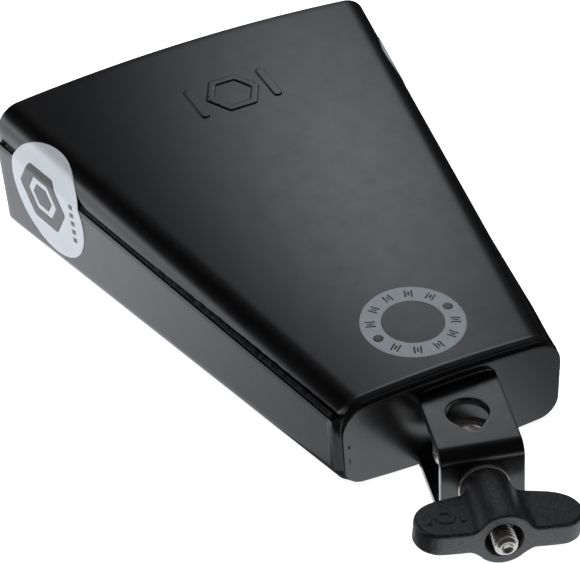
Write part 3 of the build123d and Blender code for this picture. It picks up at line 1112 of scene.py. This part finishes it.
def make_eye_bolt():
    def field(p):
        outside = np.hypot(p[..., 0] * EYE_RADII[1] / EYE_WIDE_RADIUS, p[..., 1]) - EYE_RADII[1]
        inside = EYE_RADII[0] - np.hypot(p[..., 0], p[..., 1])
        eye = rounded_box([np.maximum(outside, inside), np.abs(p[..., 2]) - EYE_HEIGHT / 2], 1.4)
        shank = rounded_box(
            [np.hypot(p[..., 0], p[..., 2]) - 3.85, np.abs(p[..., 1] + 11.8) - 4.0], 0.3
        )
        return blend_union(eye, shank, 1.6)

    eye = surface_net(field, (-13.2, -16.6, -5.2), (13.2, 12, 5.2), 0.45)
    rod, faces = threaded_rod(14.5, BOLT_END - 0.05, BOLT_RADIUS - 0.02, THREAD_DEPTH, 1.35)
    turned = np.stack([rod[:, 0], -rod[:, 2], rod[:, 1]], axis=-1)
    verts, faces = merged([eye, (turned, faces)])
    add_piece("rod_eye_bolt", verts, faces, CLAMP, STEEL, "eye_bolt", ["eye_bolt"])


def make_washer():
    inner, outer = WASHER_RADII
    top = WASHER_THICKNESS
    profile = [(inner + 0.2, 0.0), (outer - 0.25, 0.0)] + arc((outer - 0.25, 0.25), 0.25, -90, 0)[1:]
    profile += arc((outer - 0.45, top - 0.45), 0.45, 0, 90)
    profile += [(outer - 1.2, top), (inner + 0.3, top)] + arc((inner + 0.2, top - 0.2), 0.2, 90, 180)
    profile += arc((inner + 0.2, 0.2), 0.2, 180, 270)[:-1]
    verts, faces = lathe(profile, 120)
    add_piece("flat_washer", verts, faces, along_bolt(FRONT_FACE + 0.05), STEEL, "bell", ["washer"])


# Wing outline in the nut's frame, as (across, along the bolt) points of the right wing
WING_REAR = [(0, 6.0), (8, 6.05), (15.5, 7.3), (21, 8.7), (25.3, 11.4), (27.7, 15.4)]
WING_FRONT = [(27.9, 19.2), (26.2, 23.2), (23.0, 25.7), (19.0, 26.47), (8, 26.47), (0, 26.47)]


def smooth_path(points, per_span=6):
    """Catmull-Rom curve through open points."""
    points = np.asarray(points, float)
    padded = np.concatenate([[2 * points[0] - points[1]], points, [2 * points[-1] - points[-2]]])
    curve = []
    for i in range(len(points) - 1):
        a, b, c, d = padded[i : i + 4]
        for t in np.arange(per_span) / per_span:
            cubic = (2 * a - 5 * b + 4 * c - d) * t**2 + (3 * b - a - 3 * c + d) * t**3
            curve.append(0.5 * (2 * b + (c - a) * t + cubic))
    return np.array(curve + [points[-1]])


def make_wing_nut():
    right = smooth_path(WING_REAR + WING_FRONT)
    outline = np.concatenate([right, (right * (-1, 1))[-2:0:-1]])

    def field(p):
        x, y, z = p[..., 0], p[..., 1], p[..., 2]
        hub_radius = HUB_RADII[0] + (HUB_RADII[1] - HUB_RADII[0]) * z / NUT_LENGTH
        hub = rounded_box([np.hypot(x, y) - hub_radius, np.abs(z - NUT_LENGTH / 2) - NUT_LENGTH / 2], 0.9)
        flat = polygon_distance(np.stack([x, z], axis=-1), outline)
        wing = rounded_box([flat, np.abs(y - WING_LEVEL) - WING_THICKNESS / 2], 1.2)
        grip = blend_union(hub, wing, 2.4)
        grip = np.maximum(grip, z - NUT_LENGTH)
        socket = SOCKET_RADIUS + 0.32 * smoothstep(25.6, 25.8, z) - np.hypot(x, y)
        return np.maximum(grip, socket)

    verts, faces = surface_net(field, (-29, -10.8, -0.8), (29, 10.8, 27.4), 0.33)
    add_piece("wing_nut_grip", verts, faces, NUT, PLASTIC, "wing_nut", ["wing_grip"])

    def on_wing(u, v, height):
        return np.stack([u, WING_LEVEL + WING_THICKNESS / 2 + height, v], axis=-1)

    parts = [
        plate(loops, on_wing, -0.2, 0.34, edge=0.28, spacing=0.5, steps=3)
        for loops in emblem(0.36, (-17.6, 17.0), heavy=True)
    ]
    verts, faces = merged(parts)
    faces = flipped(faces)
    add_piece("wing_badge", verts, faces, NUT, PLASTIC, "wing_nut")


def make_insert():
    """Threaded sleeve moulded into the grip."""
    segments = 72
    angles = np.arange(segments) * 2 * math.pi / segments
    rows = []

    def ring(radius, z):
        rows.append(ring_points(radius, z, angles))

    ring(4.5, 0.0)
    for z in np.linspace(0.45, INSERT_LENGTH - 0.45, 180):
        turns = (z + NUT_BACK) / THREAD_PITCH - angles / (2 * math.pi)
        ring(thread_radius(turns, BOLT_RADIUS + 0.08, THREAD_DEPTH - 0.08), z)
    ring(4.5, INSERT_LENGTH)
    ring(INSERT_RADIUS - 0.3, INSERT_LENGTH)
    ring(INSERT_RADIUS, INSERT_LENGTH - 0.3)
    ring(INSERT_RADIUS, 0.3)
    ring(INSERT_RADIUS - 0.3, 0.0)
    verts = np.concatenate(rows)
    faces = [tuple(reversed(face)) for face in grid_faces(len(rows), segments, True, True)]
    add_piece("nut_insert", verts, faces, NUT, STEEL, "wing_nut", ["wing_insert"])


make_shells()
make_crown()
make_seams()
make_badge()
make_ring()
make_labels()
make_bracket()
make_bracket_welds()
make_eye_bolt()
make_washer()
make_wing_nut()
make_insert()

# ---------------------------------------------------------------- stage, light and camera


def make_stage():
    glow = {"Emission Color": (1, 1, 1, 1), "Emission Strength": 0.95}
    stops = [(0.3, (0.86, 0.86, 0.865)), (0.7, (0.89, 0.89, 0.895))]
    material = surface("pale_floor", (6, 3), stops, (60,), (0.7, 0.85), [((300,), 0.05, 0.0001)], **glow)
    level = cad_box[0][2]
    xs = np.linspace(-4, 4, 17)
    verts = [(x, y, level) for x in xs for y in xs]
    mesh = bpy.data.meshes.new("floor")
    mesh.from_pydata(verts, [], flipped(grid_faces(len(xs), len(xs))))
    mesh.materials.append(material)
    floor = bpy.data.objects.new("floor", mesh)
    bpy.context.scene.collection.objects.link(floor)


def add_softbox(name, place, target, size, power):
    """Rectangular light that reflections don't show."""
    light = bpy.data.lights.new(name, "AREA")
    light.shape = "RECTANGLE"
    light.size, light.size_y = size
    light.energy = power
    lamp = bpy.data.objects.new(name, light)
    lamp.location = place
    lamp.rotation_euler = (Vector(target) - Vector(place)).to_track_quat("-Z", "Y").to_euler()
    lamp.visible_glossy = False
    bpy.context.scene.collection.objects.link(lamp)


GLOW_COLOUR = (0.965, 1.0, 1.05)  # slightly cool


def add_sheet(name, corners, strength_of):
    """Glowing sheet seen in reflections only, its strength given by a function of its nodes."""
    n = Nodes(name)
    n.tree.nodes.remove(n.shader)
    glow = n.add("ShaderNodeEmission")
    glow.inputs["Color"].default_value = (*GLOW_COLOUR, 1)
    n.join(strength_of(n, n.add("ShaderNodeTexCoord").outputs["Object"]), glow.inputs["Strength"])
    n.join(glow.outputs[0], n.tree.nodes["Material Output"].inputs["Surface"])
    mesh = bpy.data.meshes.new(name)
    mesh.from_pydata([(x, y, 0) for x, y in corners], [], [tuple(range(len(corners)))])
    mesh.materials.append(n.material)
    sheet = bpy.data.objects.new(name, mesh)
    sheet.visible_camera = False
    sheet.visible_shadow = False
    sheet.visible_diffuse = False
    bpy.context.scene.collection.objects.link(sheet)
    return sheet


def maths(n, operation, first, second):
    """Math node on a link and a number, or on two links."""
    node = n.add("ShaderNodeMath", operation=operation)
    for socket, value in zip(node.inputs, (first, second)):
        if isinstance(value, (int, float)):
            socket.default_value = value
        else:
            n.join(value, socket)
    return node.outputs[0]


def glow_card(name, azimuth, elevation, distance, spreads, turn, peak):
    """Card whose glow falls off as a bell curve, spreads being its two half-widths."""
    edge = 2.7

    def strength_of(n, place):
        radial = n.add("ShaderNodeTexGradient", gradient_type="SPHERICAL")
        n.join(place, radial.inputs["Vector"])
        from_centre = maths(n, "SUBTRACT", 1.0, radial.outputs["Fac"])
        squared = maths(n, "MULTIPLY", from_centre, from_centre)
        fall = maths(n, "MULTIPLY", squared, -0.5 * edge * edge)
        return maths(n, "MULTIPLY", maths(n, "EXPONENT", fall, 0.0), peak)

    sheet = add_sheet(name, regular(1.0, 64), strength_of)
    towards = direction(azimuth, elevation, 1.0, (0, 0, 0))
    a, r = math.radians(azimuth), math.radians(turn)
    across = Vector((math.cos(a), -math.sin(a), 0))
    up = across.cross(towards)
    u = across * math.cos(r) + up * math.sin(r)
    v = up * math.cos(r) - across * math.sin(r)
    frame = Matrix((u * spreads[0] * edge, v * spreads[1] * edge, towards)).transposed().to_4x4()
    sheet.matrix_world = Matrix.Translation(direction(azimuth, elevation, distance)) @ frame


def floor_sheet(name, low, high, axis, start, end, values):
    """Patch just over the floor, seen in reflections only, running from one strength to another: a painted reflection
    of the floor, its weak end being painted shade.
    """

    def strength_of(n, place):
        split = n.add("ShaderNodeSeparateXYZ")
        n.join(place, split.inputs[0])
        return n.spread(split.outputs[axis], *values, start, end, interpolation_type="SMOOTHSTEP")

    corners = [(low[0], low[1]), (high[0], low[1]), (high[0], high[1]), (low[0], high[1])]
    sheet = add_sheet(name, corners, strength_of)
    sheet.matrix_world = Matrix.Translation((0, 0, cad_box[0][2] + 0.0004))


def make_cards():
    glow_card("back_card", 35.0, 42.9, 0.45, (0.0716, 0.0904), 16.3, 1.95)
    glow_card("back_fill", 33.0, 45.0, 0.9, (0.42, 0.42), 0.0, 0.17)
    glow_card("left_card", -45.0, 4.0, 1.3, (0.42, 0.17), 0.0, 2.8)
    # The floor sheets paint the floor the bell reflects and light nothing: painted shade where they are dark, in front
    # of the crown's left corner and under and to the right of the bell, and dimmer on the left towards the crown;
    # painted brighter floor in front of the crown.
    floor_sheet("floor_left", (-1.2, 0.015), (-0.045, 1.2), "Y", 0.03, 0.22, (0.55, 1.35))
    floor_sheet("shade_sheet_front_left", (-1.2, -1.2), (-0.039, 0.015), "X", -0.045, -0.04, (0.03, 1.45))
    floor_sheet("floor_front", (-0.039, -1.2), (1.2, 0.015), "X", 0.0, 0.06, (1.45, 0.45))
    floor_sheet("shade_sheet_right", (-0.045, 0.015), (1.2, 1.2), "X", 0.03, 0.05, (0.1, 0.02))


def direction(azimuth, elevation, distance, centre=(0, 0.1, 0)):
    """Point at a distance, azimuth from +Y towards +X."""
    a, e = math.radians(azimuth), math.radians(elevation)
    offset = Vector((math.sin(a) * math.cos(e), math.cos(a) * math.cos(e), math.sin(e)))
    return Vector(centre) + distance * offset


def make_light():
    add_softbox("overhead", (0, 0.1, 2.4), (0, 0.1, 0), (3.2, 3.2), 75)
    make_cards()
    world = bpy.data.worlds.new("studio")
    world.use_nodes = True
    world.node_tree.nodes["Background"].inputs["Color"].default_value = (0.02, 0.02, 0.022, 1)
    world.node_tree.nodes["Background"].inputs["Strength"].default_value = 1.0
    bpy.context.scene.world = world


CAMERA_LENS = 280.27
CAMERA_PLACE = (-0.54976, -1.04219, 0.9022)  # metres
CAMERA_TURN = (54.6868, 2.7167, -27.0545)  # degrees about X, Y and Z


def make_camera():
    camera = bpy.data.cameras.new("camera")
    camera.lens = CAMERA_LENS
    camera.sensor_width = 36.0
    camera.clip_start = 0.05
    seat = bpy.data.objects.new("camera", camera)
    seat.location = CAMERA_PLACE
    seat.rotation_euler = [math.radians(angle) for angle in CAMERA_TURN]
    bpy.context.scene.collection.objects.link(seat)
    bpy.context.scene.camera = seat


make_stage()
make_light()
make_camera()
bpy.context.scene.view_settings.view_transform = "Standard"
